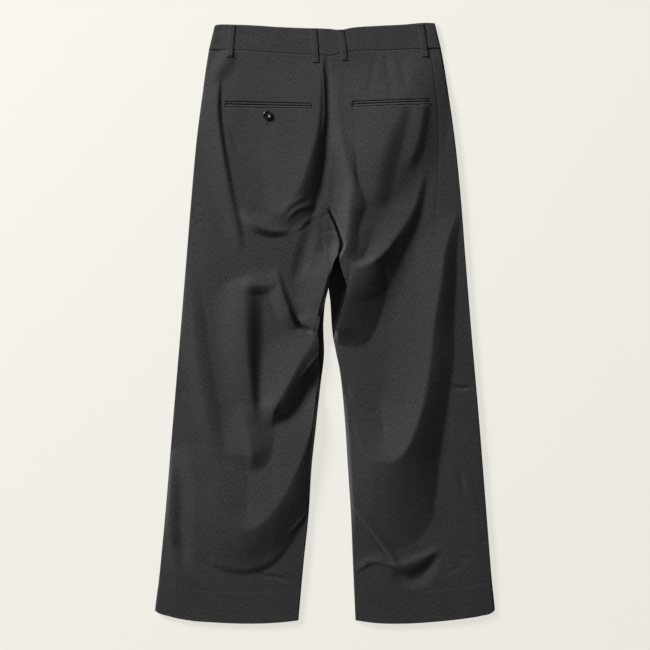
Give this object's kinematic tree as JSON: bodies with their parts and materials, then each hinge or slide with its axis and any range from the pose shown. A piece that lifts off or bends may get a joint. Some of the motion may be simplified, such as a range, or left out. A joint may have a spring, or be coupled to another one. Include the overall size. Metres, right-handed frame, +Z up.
{
  "type": "pleated dress trousers",
  "caption": "Wide-leg pleated dress trousers laid flat with the back up: waistband, belt loops, jetted back pockets, one button.",
  "frame": {"origin": "centre of the bounding box's base, on the surface that the trousers lie on", "axes": "+Z up, away from the surface; +Y along the legs towards the waist; the wearer's left side is at -X"},
  "size_m": [0.5768, 1.0197, 0.0261],
  "materials": {
    "suiting": "matte woven charcoal melange",
    "button": "polished black"
  },
  "bodies": {
    "root": {"back_panel_left": "suiting", "back_panel_right": "suiting", "front_panel_left": "suiting", "front_panel_right": "suiting", "back_waistband_left": "suiting", "back_waistband_right": "suiting", "front_waistband_left": "suiting", "front_waistband_right": "suiting", "belt_loop_side_left": "suiting", "belt_loop_centre_left": "suiting", "belt_loop_centre_right": "suiting", "belt_loop_side_right": "suiting", "belt_loop_front_left": "suiting", "belt_loop_front_right": "suiting", "pocket_left_upper_welt": "suiting", "pocket_left_lower_welt": "suiting", "pocket_right_upper_welt": "suiting", "pocket_right_lower_welt": "suiting", "pocket_button": "button"}
  },
  "joints": []
}
